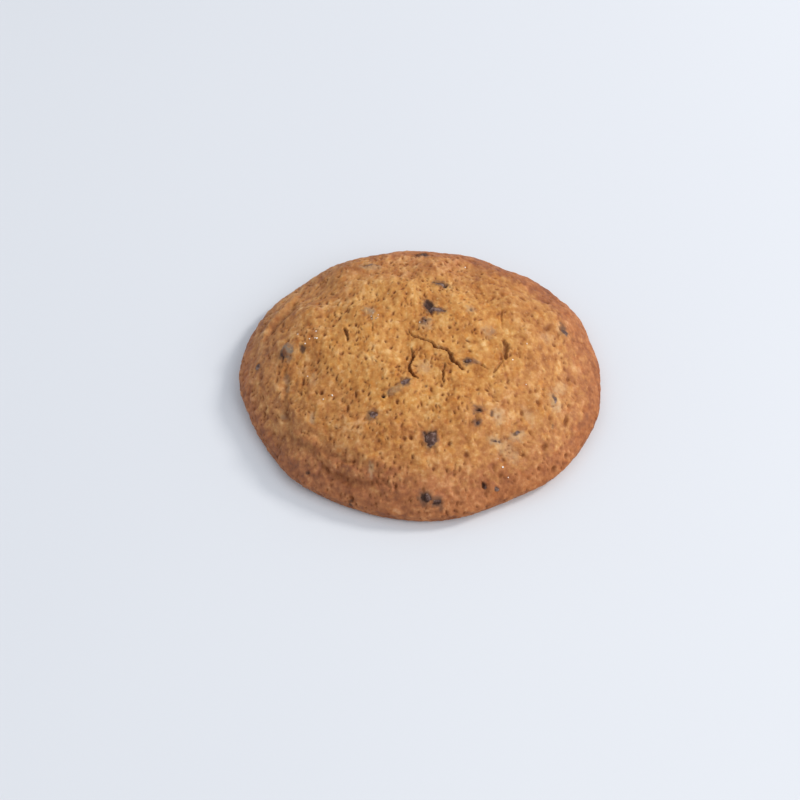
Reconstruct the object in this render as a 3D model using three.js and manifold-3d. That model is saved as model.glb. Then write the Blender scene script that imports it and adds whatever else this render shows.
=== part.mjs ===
// A chocolate chip cookie: a thick, soft-baked round of dough, domed and cracked, with chips in its crust.
// Millimetres, +Z up. The origin lies on the surface under the cookie, below the middle of its outline.

import * as THREE from "three";
import { mergeVertices } from "three/addons/utils/BufferGeometryUtils.js";
import Module from "manifold-3d";

const wasm = await Module();
wasm.setup();

// The outline seen from above: a circle that spread a little unevenly in the oven.
const MEAN_RADIUS = 52.85;
const LOBES = [
  { waves: 2, height: 1.3, bearing: -8 },
  { waves: 3, height: 0.36, bearing: 12 },
  { waves: 4, height: 0.2, bearing: 3 },
  { waves: 5, height: 0.29, bearing: 37 },
  { waves: 6, height: 0.16, bearing: -19 },
  { waves: 7, height: 0.33, bearing: 19 },
];

// The profile: a dome, flatter in the middle, that turns down to a rounded edge and a flat underside.
const CROWN_HEIGHT = 21;
const EDGE_HEIGHT = 4;
const DOME_FLATNESS = 2.3;
const SHOULDER = 0.75;
const FOOT_SHARE = 0.955;
const PROFILE_STEPS = 240;
const UNDERSIDE_DETAIL = 0.2;

// The foot: the flat that the cookie stands on, just proud of the rest of the underside.
const FOOT = { radius: 42, sides: 12, proud: 0.1 };

// The crust's relief.
const MESH_DETAIL = 18;
const SWELL = { waves: 14, longest: 34, shortest: 8, slope: 0.009, phase: 1.71 };
const WRINKLES = {
  from: 200,
  to: 262,
  fade: 16,
  innermost: 0.8,
  outermost: 0.96,
  blend: 0.06,
  spacing: 4.6,
  height: 0.28,
  sway: 1.2,
  swayWaves: 5,
};
const CRUMB = { height: 0.2, poreShare: 0.12, poreDepth: 0.6, seed: 7 };

// Cracks in the crust, from end to end: [x, y] on the plan. Each runs out to nothing at both ends.
const CRACKS = [
  { width: 1.7, depth: 1.2, route: [[-3, 1.5], [0, 0], [4, -2.5], [5, -4.5], [7.5, -5], [9, -7], [12, -12]] },
  { width: 1.5, depth: 1.1, route: [[-2.2, -4], [-3, -8.5], [-3.6, -11], [-2.5, -14], [-0.3, -16]] },
  { width: 1.3, depth: 0.9, route: [[7, -10.5], [6.3, -13], [6.7, -16]] },
  { width: 1.2, depth: 0.7, route: [[22.5, 14], [22.7, 9], [23, 5], [24, 1]] },
  { width: 1.8, depth: 1.2, route: [[24, 2], [24.6, -2.5], [24.3, -6.5]] },
  { width: 1.2, depth: 0.8, route: [[24.3, -6], [23, -9.5], [20.6, -12.6]] },
  { width: 1.4, depth: 1.0, route: [[-22.4, 5.4], [-21.8, 2], [-21.1, -1]] },
  { width: 2.0, depth: 1.0, route: [[-47, 8.5], [-45.6, 12.5], [-43, 17], [-40.5, 21], [-37.5, 25]] },
];
const CRACK_SIDES = 6;
const CRACK_STEP = 1.4;
const CRACK_END_RISE = 1.1;

// The chips that show: where each breaks the crust, its size, where its tip points, how far it leans from
// upright, and how far it stands proud of the crust.
const CHIPS = [
  { at: [4.0, 11.4], width: 6.0, length: 7.0, tip: -40, lean: 80, proud: 0.7 },
  { at: [6.0, 24.1], width: 4.6, length: 7.6, tip: 178, lean: 86, proud: 0.5 },
  { at: [1.0, 6.2], width: 5.4, length: 5.8, tip: 60, lean: 18, proud: 0.6 },
  { at: [-5.0, -17.8], width: 5.2, length: 8.4, tip: 210, lean: 74, proud: 0.4 },
  { at: [-13.1, -26.4], width: 5.4, length: 6.0, tip: 120, lean: 110, proud: 0.4 },
  { at: [2.7, -33.6], width: 6.4, length: 7.4, tip: -62, lean: 78, proud: 0.7 },
  { at: [2.4, -48.8], width: 5.0, length: 7.4, tip: -8, lean: 86, proud: 0.5 },
  { at: [19.2, -44.6], width: 4.6, length: 6.6, tip: -8, lean: 86, proud: 0.4 },
  { at: [16.5, -26.2], width: 5.0, length: 6.4, tip: -98, lean: 82, proud: 0.3 },
  { at: [21.4, -32.8], width: 5.0, length: 5.8, tip: 190, lean: 78, proud: 0.3 },
  { at: [27.4, -29.6], width: 5.0, length: 6.0, tip: 25, lean: 80, proud: 0.3 },
  { at: [38.2, -17.6], width: 5.0, length: 6.0, tip: -75, lean: 82, proud: 0.4 },
  { at: [42.6, 9.8], width: 5.0, length: 6.0, tip: -85, lean: 82, proud: 0.4 },
  { at: [-39.4, -1.0], width: 6.2, length: 6.8, tip: 90, lean: 84, proud: 0.6 },
  { at: [-48.0, -2.3], width: 4.6, length: 5.4, tip: 120, lean: 80, proud: 0.3 },
  { at: [14.0, -8.7], width: 4.8, length: 6.4, tip: 5, lean: 86, proud: 0.3 },
  { at: [1.3, 43.2], width: 5.0, length: 7.0, tip: 4, lean: 86, proud: 0.5 },
  { at: [-14.8, 35.3], width: 5.0, length: 7.0, tip: 186, lean: 86, proud: 0.3 },
];
const CHIP_PROFILE = [[0, 0], [0.42, 0], [0.5, 0.18], [0.42, 0.44], [0.2, 0.78], [0, 1]];
const CHIP_SIDES = 9;
const CHIP_GAP = 0.3;

const GOLDEN_ANGLE = Math.PI * (3 - Math.sqrt(5));
const MERGE_DISTANCE = 1e-4;
const radians = THREE.MathUtils.degToRad;
const smooth = THREE.MathUtils.smoothstep;

function edgeRadius(bearing) {
  let radius = MEAN_RADIUS;
  for (const lobe of LOBES) {
    radius += lobe.height * Math.cos(lobe.waves * (bearing - radians(lobe.bearing)));
  }
  return radius;
}

// The profile from the crown over the edge to the middle of the underside.
// x is a share of the outline's radius, and y is the height.
function cookieProfile() {
  const points = [];
  for (let i = 0; i <= PROFILE_STEPS; i++) {
    const turn = (Math.PI / 2) * (i / PROFILE_STEPS);
    const share = Math.pow(Math.sin(turn), 2 / DOME_FLATNESS);
    const rise = Math.pow(Math.max(Math.cos(turn), 0), 2 * SHOULDER);
    points.push(new THREE.Vector2(share, EDGE_HEIGHT + (CROWN_HEIGHT - EDGE_HEIGHT) * rise));
  }
  for (let i = 1; i <= PROFILE_STEPS; i++) {
    const turn = (Math.PI / 2) * (i / PROFILE_STEPS);
    const share = FOOT_SHARE + (1 - FOOT_SHARE) * Math.cos(turn);
    points.push(new THREE.Vector2(share, EDGE_HEIGHT * (1 - Math.sin(turn))));
  }
  for (let i = 1; i <= PROFILE_STEPS; i++) {
    points.push(new THREE.Vector2(FOOT_SHARE * (1 - i / PROFILE_STEPS), 0));
  }
  return points;
}

function domeHeight(x, y) {
  const share = Math.min(Math.hypot(x, y) / edgeRadius(Math.atan2(y, x)), 1);
  const rise = Math.pow(1 - Math.pow(share, DOME_FLATNESS), SHOULDER);
  return EDGE_HEIGHT + (CROWN_HEIGHT - EDGE_HEIGHT) * rise;
}

function domeNormal(x, y) {
  const reach = 0.5;
  const slopeX = (domeHeight(x + reach, y) - domeHeight(x - reach, y)) / (2 * reach);
  const slopeY = (domeHeight(x, y + reach) - domeHeight(x, y - reach)) / (2 * reach);
  return new THREE.Vector3(-slopeX, -slopeY, 1).normalize();
}

// Broad swells: plane waves in well-spread directions, the longer the higher.
function swellHeight(point) {
  let height = 0;
  for (let i = 0; i < SWELL.waves; i++) {
    const turn = i * GOLDEN_ANGLE;
    const climb = 1 - (2 * i + 1) / SWELL.waves;
    const flat = Math.sqrt(1 - climb * climb);
    const length = SWELL.longest * Math.pow(SWELL.shortest / SWELL.longest, i / (SWELL.waves - 1));
    const along = flat * (point.x * Math.cos(turn) + point.y * Math.sin(turn)) + climb * point.z;
    height += SWELL.slope * length * Math.sin((2 * Math.PI * along) / length + SWELL.phase * i * i);
  }
  return height;
}

// Wrinkles along the edge at the front left, where the dough slumped.
function wrinkleHeight(point, share) {
  const bearing = THREE.MathUtils.radToDeg(Math.atan2(point.y, point.x) + 2 * Math.PI) % 360;
  const { from, to, fade, innermost, outermost, blend, spacing, height, sway, swayWaves } = WRINKLES;
  const side = smooth(bearing, from - fade, from + fade) * (1 - smooth(bearing, to - fade, to + fade));
  const belt = smooth(share, innermost - blend, innermost) * (1 - smooth(share, outermost, 1));
  const along = Math.hypot(point.x, point.y) + sway * Math.sin(radians(bearing * swayWaves));
  return height * side * belt * Math.cos((2 * Math.PI * along) / spacing);
}

// A seeded random draw from 0 to 1.
function randomDraw(seed) {
  let state = seed;
  return () => {
    state = (state + 0x6d2b79f5) | 0;
    let mixed = Math.imul(state ^ (state >>> 15), 1 | state);
    mixed = (mixed + Math.imul(mixed ^ (mixed >>> 7), 61 | mixed)) ^ mixed;
    return ((mixed ^ (mixed >>> 14)) >>> 0) / 4294967296;
  };
}

// The crust's crumb at one vertex: a little up or down, and here and there a pore.
function crumbHeight(draw) {
  const pore = draw() < CRUMB.poreShare ? CRUMB.poreDepth * (0.5 + draw()) : 0;
  return CRUMB.height * (2 * draw() - 1) - pore;
}

function solidFrom(geometry) {
  const bare = geometry.clone();
  bare.deleteAttribute("normal");
  bare.deleteAttribute("uv");
  const merged = mergeVertices(bare, MERGE_DISTANCE);
  return new wasm.Manifold(
    new wasm.Mesh({
      numProp: 3,
      vertProperties: new Float32Array(merged.attributes.position.array),
      triVerts: new Uint32Array(merged.index.array),
    }),
  );
}

function geometryFrom(solid) {
  const mesh = solid.getMesh();
  const geometry = new THREE.BufferGeometry();
  geometry.setAttribute("position", new THREE.BufferAttribute(mesh.vertProperties, 3));
  geometry.setIndex(new THREE.BufferAttribute(mesh.triVerts, 1));
  const flat = geometry.toNonIndexed();
  flat.computeVertexNormals();
  return flat;
}

// The dough's body: an even ball of triangles, each vertex moved to its place on the cookie.
// The ball's area from the top down goes to the profile's area in step, so the triangles stay even.
function doughBody() {
  const profile = cookieProfile();
  const reach = [0];
  for (let i = 1; i < profile.length; i++) {
    const stretch = profile[i].clone().sub(profile[i - 1]);
    stretch.x *= MEAN_RADIUS;
    const detail = profile[i].y < MERGE_DISTANCE ? UNDERSIDE_DETAIL : 1;
    const area = stretch.length() * (profile[i].x + profile[i - 1].x) * detail;
    reach.push(reach[i - 1] + area);
  }
  const whole = reach[reach.length - 1];

  const ball = new THREE.IcosahedronGeometry(1, MESH_DETAIL);
  ball.deleteAttribute("normal");
  ball.deleteAttribute("uv");
  const merged = mergeVertices(ball, MERGE_DISTANCE);
  const places = merged.attributes.position;
  const draw = randomDraw(CRUMB.seed);
  const point = new THREE.Vector3();
  for (let v = 0; v < places.count; v++) {
    point.fromBufferAttribute(places, v);
    const bearing = Math.atan2(point.y, point.x);
    const wanted = ((1 - point.z) / 2) * whole;
    let step = 1;
    while (step < profile.length - 1 && reach[step] < wanted) step++;
    const part = THREE.MathUtils.clamp((wanted - reach[step - 1]) / (reach[step] - reach[step - 1]), 0, 1);
    const at = profile[step - 1].clone().lerp(profile[step], part);
    const radius = at.x * edgeRadius(bearing);
    point.set(radius * Math.cos(bearing), radius * Math.sin(bearing), Math.max(at.y, FOOT.proud));
    if (at.y > MERGE_DISTANCE) {
      const run = profile[step].clone().sub(profile[step - 1]);
      const outward = new THREE.Vector2(-run.y, run.x * MEAN_RADIUS).normalize();
      const fade = smooth(at.y, 0, EDGE_HEIGHT);
      const height = fade * (swellHeight(point) + wrinkleHeight(point, at.x) + crumbHeight(draw));
      point.x += outward.x * height * Math.cos(bearing);
      point.y += outward.x * height * Math.sin(bearing);
      point.z += outward.y * height;
    }
    places.setXYZ(v, point.x, point.y, point.z);
  }
  const foot = wasm.Manifold.cylinder(2 * FOOT.proud, FOOT.radius, FOOT.radius, FOOT.sides);
  return solidFrom(merged).add(foot);
}

// The height of the crust with its swells, for what sits in it.
function crustHeight(x, y) {
  const height = domeHeight(x, y);
  return height + swellHeight(new THREE.Vector3(x, y, height));
}

// What a crack takes out of the crust: a tube along its route that rises out of the crust at both ends.
function crackCutter({ width, depth, route }) {
  const radius = width / 2;
  const plan = new THREE.CatmullRomCurve3(route.map(([x, y]) => new THREE.Vector3(x, y, 0)));
  const steps = Math.max(4, Math.round(plan.getLength() / CRACK_STEP));
  const line = plan.getSpacedPoints(steps).map((p, i) => {
    const taper = Math.sqrt(Math.sin((Math.PI * i) / steps));
    const under = (depth - radius) * taper - radius * CRACK_END_RISE * (1 - taper);
    const normal = domeNormal(p.x, p.y);
    return new THREE.Vector3(p.x, p.y, crustHeight(p.x, p.y)).addScaledVector(normal, -under);
  });
  const section = new THREE.Shape(
    Array.from({ length: CRACK_SIDES }, (_, i) => {
      const turn = (2 * Math.PI * i) / CRACK_SIDES;
      return new THREE.Vector2(radius * Math.cos(turn), radius * Math.sin(turn));
    }),
  );
  const path = new THREE.CatmullRomCurve3(line);
  return solidFrom(new THREE.ExtrudeGeometry(section, { steps, extrudePath: path, bevelEnabled: false }));
}

// A chip is a drop: a round flat foot, sides that draw in, and a blunt tip. Its length runs up from the foot.
function chipShape(width, length, growth) {
  const points = CHIP_PROFILE.map(([across, along]) => {
    return new THREE.Vector2(across * (width + 2 * growth), along * (length + 2 * growth) - growth);
  });
  return new THREE.LatheGeometry(points, CHIP_SIDES).rotateX(Math.PI / 2);
}

// Where a chip goes: its highest point comes over its place on the plan, square to the crust there.
function chipPlace({ at: [x, y], width, length, tip, lean, proud }) {
  const turn = new THREE.Matrix4().makeRotationZ(radians(tip));
  turn.multiply(new THREE.Matrix4().makeRotationY(radians(lean)));
  const corners = chipShape(width, length, 0).applyMatrix4(turn).attributes.position;
  const top = new THREE.Vector3(0, 0, -Infinity);
  const corner = new THREE.Vector3();
  for (let v = 0; v < corners.count; v++) {
    corner.fromBufferAttribute(corners, v);
    if (corner.z > top.z) top.copy(corner);
  }
  const settle = new THREE.Quaternion().setFromUnitVectors(new THREE.Vector3(0, 0, 1), domeNormal(x, y));
  return new THREE.Matrix4()
    .compose(new THREE.Vector3(x, y, crustHeight(x, y)), settle, new THREE.Vector3(1, 1, 1))
    .multiply(new THREE.Matrix4().makeTranslation(-top.x, -top.y, proud - top.z))
    .multiply(turn);
}

const doughColour = new THREE.MeshStandardMaterial({ color: 0xc08a52, roughness: 0.85, metalness: 0 });
const chipColour = new THREE.MeshStandardMaterial({ color: 0x3a2a26, roughness: 0.5, metalness: 0 });

const cookie = new THREE.Group();

let body = doughBody();
for (const crack of CRACKS) {
  body = body.subtract(crackCutter(crack));
}
CHIPS.forEach((chip, i) => {
  const place = chipPlace(chip);
  const pocket = chipShape(chip.width, chip.length, CHIP_GAP).applyMatrix4(place);
  body = body.subtract(solidFrom(pocket));
  const shape = chipShape(chip.width, chip.length, 0).applyMatrix4(place);
  const mesh = new THREE.Mesh(geometryFrom(solidFrom(shape)), chipColour);
  mesh.name = `chip_${String(i + 1).padStart(2, "0")}`;
  cookie.add(mesh);
});
const dough = new THREE.Mesh(geometryFrom(body), doughColour);
dough.name = "dough";
cookie.add(dough);

// The middle of the outline goes over the origin.
const box = new THREE.Box3().setFromObject(cookie);
const middle = box.getCenter(new THREE.Vector3());
cookie.position.set(-middle.x, -middle.y, -box.min.z);

export default cookie;
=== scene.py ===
# A chocolate chip cookie: a thick, soft-baked round of dough with a cracked, grainy crust and chips in it.
# Shapes are worked out in millimetres, as the solids are, and made in metres.

import math

import bpy
import numpy as np
from mathutils import Euler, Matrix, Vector, noise
from mathutils.bvhtree import BVHTree
from mathutils.kdtree import KDTree


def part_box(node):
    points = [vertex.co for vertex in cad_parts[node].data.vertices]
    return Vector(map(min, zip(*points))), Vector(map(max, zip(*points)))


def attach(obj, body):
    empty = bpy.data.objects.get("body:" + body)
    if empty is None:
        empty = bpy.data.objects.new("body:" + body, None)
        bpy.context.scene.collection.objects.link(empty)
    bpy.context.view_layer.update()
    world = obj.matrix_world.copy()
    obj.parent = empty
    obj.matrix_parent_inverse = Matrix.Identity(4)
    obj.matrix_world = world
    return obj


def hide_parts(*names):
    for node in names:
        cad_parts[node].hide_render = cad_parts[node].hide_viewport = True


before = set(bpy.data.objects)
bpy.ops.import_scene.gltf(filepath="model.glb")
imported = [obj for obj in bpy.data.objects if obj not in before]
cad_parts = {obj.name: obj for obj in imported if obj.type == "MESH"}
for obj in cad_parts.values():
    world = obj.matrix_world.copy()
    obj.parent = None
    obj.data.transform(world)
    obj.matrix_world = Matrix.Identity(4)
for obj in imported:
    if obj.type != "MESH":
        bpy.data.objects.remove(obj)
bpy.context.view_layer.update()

MM = 0.001

# The outline seen from above, as in the solids: a circle that spread a little unevenly in the oven.
MEAN_RADIUS = 52.85
LOBES = ((2, 1.3, -8), (3, 0.36, 12), (4, 0.2, 3), (5, 0.29, 37), (6, 0.16, -19), (7, 0.33, 19))

# The profile: a dome, flatter in the middle, that turns down to a rounded edge and a flat underside.
CROWN_HEIGHT = 21.0
EDGE_HEIGHT = 4.0
DOME_FLATNESS = 2.3
SHOULDER = 0.75
FOOT_SHARE = 0.955
PROFILE_STEPS = 2000

# How far apart the mesh's rings lie: on the crown, which reaches this share of the radius, on the dome, round
# the edge and under the foot. The smallest ring has this many points. Slopes are taken this far each way.
CROWN_STEP = 0.29
CROWN_SHARE = 0.53
DOME_STEP = 0.39
RIM_STEP = 0.45
FOOT_STEP = 1.1
FEWEST_POINTS = 6
SLOPE_REACH = 0.05

# How high up the fine relief has all its height, and how high up the marks on the crust start.
FINE_FADE = 1.5
LOWEST_MARK = 2.0

# Two belts of the crust by their share of the radius: near the edge and right at it.
NEAR_EDGE = (0.75, 0.92)
AT_EDGE = (0.92, 0.99)

# Broad swells, of which the short ones stop near the edge, and wrinkles where the front left slumped.
SWELL = {"waves": 14, "longest": 34.0, "shortest": 8.0, "slope": 0.009, "phase": 1.71,
         "short": 17.0, "short_stop": (0.75, 0.95)}
WRINKLES = {"from": 200, "to": 262, "fade": 16, "inner": 0.8, "outer": 0.96, "blend": 0.06,
            "spacing": 4.6, "height": 0.32, "sway": 1.2, "sway_waves": 5, "ragged": 1.2, "ragged_size": 9.0,
            "start": 31}

# Layers of noise in the crust: the size of its lumps, its height, and where in the noise it starts. The lumps
# keep RIM_LUMPS of their height at the edge, and the grain has RIM_GRAIN more on the side of the painted
# sheen.
LUMPS = ((7.0, 0.16, 0), (3.2, 0.2, 17))
RIM_LUMPS = {"share": 0.3, "belt": (0.7, 0.95)}
GRAIN = ((1.8, 0.15, 51), (0.95, 0.06, 68))
RIM_GRAIN = 0.6
STREAK = {"size": 1.5, "stretch": 1.6, "height": 0.1, "start": 91}
RAGGED = ((1.3, 0.4, 71), (0.6, 0.3, 81))

# A sway pushes points aside by three layers of noise, one for each axis, which start this far apart in it.
SWAY_STARTS = (0, 10, 20)

# Crumbs with gaps between them, made crooked by a sway, and plainer in some patches than in others.
CRUMB = {"size": 1.8, "height": 0.13, "gap": 0.2, "depth": 0.06, "middle": 0.5, "sway": 0.5, "sway_size": 2.0,
         "start": 101}
CRUMB_PATCH = {"size": 6.0, "low": -0.5, "high": 0.3, "plainest": 0.25, "start": 131}

# The grain is drawn out along Y, most at the back: its noise is made from DRAWN[0] * y - y**2 / DRAWN[1].
DRAWN = (0.7, 310.0)

# Pores: small pits, most of them drawn out along Y, closer together in some patches and on the left.
PORES = (
    {"count": 90, "half_width": (0.34, 0.5), "aspect": (1.0, 2.2), "depth": (0.5, 0.9)},
    {"count": 650, "half_width": (0.3, 0.46), "aspect": (1.2, 3.2), "depth": (0.32, 0.6)},
    {"count": 900, "half_width": (0.25, 0.4), "aspect": (1.2, 3.2), "depth": (0.2, 0.42)},
    {"count": 1100, "half_width": (0.25, 0.4), "aspect": (1.0, 2.8), "depth": (0.08, 0.18)},
)
PORE_CROWD = {"size": 9.0, "low": -0.7, "high": 0.4, "least": 0.6, "start": 141}
PORE_THINNING = {"share": 0.55, "from": 5, "to": 35}
LOWEST_PORE = 0.4 * EDGE_HEIGHT

# How far a pore's bearing strays from Y, in radians, how crooked its rim is, how many times half its length
# it reaches, and how much a difference in height counts.
PORE_SWAY = 0.36
PORE_WARP = {"size": 1.1, "reach": 0.32, "start": 151}
PORE_REACH = 1.8
PORE_RISE = 0.5
PORE_SEED = 11

# The pits that stand out one by one: (x, y, half the width, half the length, the length's bearing, depth).
PITS = (
    (-24.2, 9.3, 0.52, 1.0, 60, 0.9), (-22.3, 12.0, 0.45, 1.4, 60, 0.8), (-20.4, 15.2, 0.52, 1.2, 70, 0.8),
    (-26.0, 6.4, 0.52, 0.7, 90, 0.8), (-19.0, 5.1, 0.45, 0.9, 90, 0.8), (-18.8, -0.7, 0.45, 0.8, 90, 0.8),
    (-28.4, -17.3, 0.65, 0.8, 90, 1.2), (-20.7, -23.6, 0.45, 2.0, 88, 1.0),
    (-34.1, -12.4, 0.52, 1.7, 90, 0.8), (-24.6, -13.3, 0.45, 1.6, 90, 0.8),
    (-29.9, -6.2, 0.52, 0.9, 80, 0.8), (-18.5, -19.6, 0.45, 1.6, 95, 0.9),
    (-34.7, -16.2, 0.45, 0.9, 100, 0.7), (-46.0, -18.3, 0.52, 1.4, 80, 0.9),
    (-18.8, -38.6, 0.59, 0.8, 30, 1.0), (38.6, 23.2, 0.91, 1.3, 40, 0.9), (31.1, 21.4, 0.65, 1.6, 140, 0.7),
    (37.9, 9.2, 1.3, 2.4, 60, 0.6), (42.0, -22.7, 0.65, 2.5, 85, 0.9), (35.0, -31.6, 0.65, 1.6, 70, 0.9),
    (37.2, -36.3, 0.65, 1.3, 60, 1.0), (29.0, -23.1, 0.52, 1.0, 80, 0.7), (24.9, -14.6, 0.52, 1.2, 90, 0.8),
    (-2.8, -33.9, 0.52, 0.9, 110, 1.0), (-4.4, -34.0, 0.65, 0.8, 0, 0.7),
    (-11.4, -34.2, 0.59, 0.8, 90, 0.8), (12.7, -37.5, 1.04, 0.9, 0, 0.7), (7.9, -35.2, 0.52, 0.7, 90, 0.8),
    (-6.9, -45.8, 0.39, 1.4, 88, 1.2), (-19.1, -47.1, 0.65, 1.2, 110, 1.0),
    (41.3, -32.0, 0.55, 1.0, 60, 0.8), (23.3, 24.5, 0.5, 0.8, 60, 0.5), (28.9, -35.3, 0.52, 0.9, 90, 0.7),
)

# Cracks: how deep, and the route on the plan with the crack's width at each corner: (x, y, width).
CRACKS = (
    (1.2, ((-3.6, 3.6, 0.3), (-2.4, 1.2, 0.5), (0.3, -0.5, 0.6), (2.0, -1.1, 0.5), (3.4, -1.9, 0.6),
           (4.2, -3.6, 0.8), (5.5, -3.9, 0.95), (7.0, -3.8, 0.9), (8.1, -4.9, 0.75), (8.7, -6.2, 1.35),
           (9.1, -8.6, 1.2), (10.9, -9.9, 0.6), (11.9, -11.5, 0.6))),
    (1.1, ((-2.8, -3.3, 0.4), (-2.1, -6.6, 0.9), (-3.2, -9.6, 0.85), (-3.3, -11.4, 0.95), (-2.8, -13.1, 0.75),
           (-1.7, -14.5, 0.7), (-0.5, -15.3, 0.45))),
    (0.85, ((7.2, -9.3, 0.3), (6.5, -12.0, 0.7), (6.4, -14.7, 0.85), (6.8, -16.3, 0.45))),
    (0.45, ((24.4, 15.2, 0.45), (24.1, 11.4, 0.55), (24.3, 5.6, 0.5))),
    (0.95, ((24.1, 1.2, 0.9), (24.9, -1.6, 1.7), (24.9, -4.4, 1.3), (24.4, -6.8, 0.6))),
    (0.75, ((24.0, -6.9, 0.5), (22.1, -10.1, 0.75), (20.8, -12.1, 0.7))),
    (0.8, ((12.8, -8.4, 0.5), (15.2, -8.9, 0.65), (17.8, -9.6, 0.5), (19.6, -11.2, 0.4))),
    (0.6, ((-7.7, 6.3, 0.36), (-5.6, 6.5, 0.4), (-4.3, 7.6, 0.36))),
    (0.6, ((5.2, 4.1, 0.36), (6.7, 1.6, 0.42))),
    (1.1, ((-22.4, 4.8, 0.45), (-21.9, 3.0, 1.0), (-21.4, 0.9, 0.75), (-21.2, -1.0, 0.45))),
    (0.7, ((-14.1, 5.6, 0.36), (-14.0, 2.0, 0.42))),
    (0.7, ((-0.7, -29.0, 0.48), (-0.2, -31.3, 0.42))),
    (0.8, ((-11.3, -20.7, 0.7), (-10.6, -20.9, 1.1), (-9.9, -21.1, 0.7))),
    (0.8, ((-9.2, -20.4, 0.5), (-9.1, -21.4, 0.6))),
    (0.7, ((17.2, -43.9, 0.7), (17.8, -44.5, 1.2), (18.4, -45.2, 0.7))),
    (0.7, ((21.3, -43.9, 0.6), (21.2, -45.4, 0.8))),
)

# Soft folds: as the cracks, but with rounded sides, and with how much painted shade each has after its depth.
# The one with a depth below 0 is the ridge beside the fold at the back left.
FOLDS = (
    (0.9, 0.7, ((-45.6, 9.6, 1.0), (-44.4, 11.8, 1.8), (-42.7, 15.0, 2.6), (-40.9, 18.4, 3.0),
                (-39.5, 22.0, 2.2), (-38.9, 23.6, 1.2))),
    (-0.7, 0.0, ((-48.2, 8.0, 1.6), (-46.4, 12.9, 2.4), (-44.8, 16.2, 2.8), (-43.0, 19.6, 3.0),
                 (-41.0, 23.2, 2.8), (-38.0, 27.4, 1.6))),
    (0.6, 0.6, ((-39.7, -5.4, 0.8), (-39.5, -10.3, 1.7), (-39.2, -16.2, 1.5), (-38.9, -20.5, 1.9),
                (-38.1, -24.3, 1.6), (-36.5, -28.7, 1.9), (-33.2, -31.6, 1.7), (-28.2, -34.5, 2.0),
                (-23.3, -37.2, 1.5), (-19.3, -39.0, 0.6))),
    (0.7, 0.65, ((-27.9, -38.3, 0.7), (-22.4, -42.2, 1.7), (-17.1, -43.8, 1.9), (-10.6, -44.5, 1.6),
                 (-7.9, -45.7, 0.6))),
    (0.35, 0.4, ((-30.4, -21.0, 0.8), (-30.5, -24.3, 1.5), (-30.0, -27.6, 0.8))),
    (0.4, 0.2, ((8.5, -46.4, 0.8), (9.9, -47.2, 1.6), (11.4, -48.4, 0.8))),
)

# How close the points on a crack's line lie, and how far and over what length the lines of cracks and folds
# stray from their routes. Both run out at their ends.
CRACK_STEP = 0.25
FEWEST_PLACES = 6
CRACK_RAGGED = (0.32, 0.9)
FOLD_SWAY = (0.9, 3.0)
LINE_STARTS = (3, 13)
END_FADE = (-0.4, 0.8)
LOWEST_CRACK = 1.0

# A crack's half width is uneven, a thin crack is shallower, no cut is narrower than the mesh can show, and a
# slight lip stands beside it. Beyond its reach it no longer matters.
CRACK_UNEVEN = {"size": 0.9, "start": 61, "middle": 0.95, "sway": 0.55}
THIN_CRACK = 0.32
SHALLOWEST = 0.3
NARROWEST_CUT = 0.2
CUT_FULLNESS = 1.1
CRACK_LIP = {"height": 0.1, "away": 0.3, "width": 0.45}
CRACK_REACH = 2.5
FOLD_REACH = 4.0

# Painted shade in cracks and folds: a crack's is soft-edged and follows its depth, a fold's is uneven.
CRACK_SHADE = {"edge": 1.6, "from_depth": 0.25, "least": 0.1}
FOLD_SHADE = (0.75, 0.9)

# Where the crust is torn open over a chip: the middle, half the width, half the length, the length's bearing.
WINDOWS = (
    (2.5, 13.4, 1.15, 2.1, 95), (3.4, 11.2, 0.8, 1.0, 45), (5.1, 10.8, 0.45, 2.0, 2),
    (6.3, 24.3, 0.8, 2.3, -24),
    (1.2, 6.4, 0.5, 0.6, 90),
    (-4.4, -17.0, 0.75, 1.3, 26),
    (-13.1, -26.3, 0.95, 1.25, 0),
    (2.1, -34.2, 0.75, 2.0, 113), (3.5, -34.0, 0.8, 2.1, 80), (2.8, -33.3, 0.9, 1.3, 90),
    (1.3, -48.6, 0.85, 1.2, 0), (4.6, -49.5, 0.5, 1.1, 5),
    (16.5, -24.8, 0.42, 0.85, 10), (15.9, -28.7, 0.32, 0.42, 0),
    (-40.3, -2.0, 0.3, 0.9, 105),
    (13.6, -8.8, 0.33, 1.3, 2),
    (0.4, 41.9, 0.7, 1.9, 0),
)

# Small dark bits of chocolate in the crust, and a few spots of painted shade: as above, and how strong each
# is.
SPECKS_AND_SHADE = (
    (-34.4, -1.0, 0.9, 1.5, 93, 0.9), (-10.7, -20.9, 0.5, 0.7, 0, 0.9), (1.6, -17.7, 0.4, 0.5, 0, 0.7),
    (-31.9, -39.0, 0.4, 0.8, -18, 0.8), (-19.7, -47.6, 0.4, 0.7, -9, 0.8), (37.9, -25.4, 0.3, 0.6, 88, 0.6),
    (15.0, 11.9, 0.45, 0.9, 89, 0.65), (15.1, -26.0, 0.35, 0.5, 40, 0.7), (22.4, -32.7, 0.35, 0.5, 60, 0.8),
    # (20.1, -25.2) is painted shade on the left side of a small bump.
    (-13.2, 12.3, 0.4, 1.1, 95, 0.3), (20.1, -25.2, 0.5, 1.3, 85, 0.85), (38.5, -16.9, 0.65, 1.6, 98, 0.8),
    (27.2, -29.7, 0.55, 1.2, 30, 0.8), (-48.2, -1.9, 0.9, 1.4, 94, 0.75), (-16.0, 34.8, 0.55, 2.7, -4, 0.5),
    # (17.8, -44.5) and (21.2, -44.7) are painted shade in two small holes at the front.
    (20.6, -32.8, 0.5, 1.1, 0, 0.55), (17.8, -44.5, 0.75, 0.85, 0, 1.0), (21.2, -44.7, 0.6, 0.75, 0, 1.0),
    (43.0, 11.0, 1.2, 2.9, 100, 0.75),
)
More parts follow.
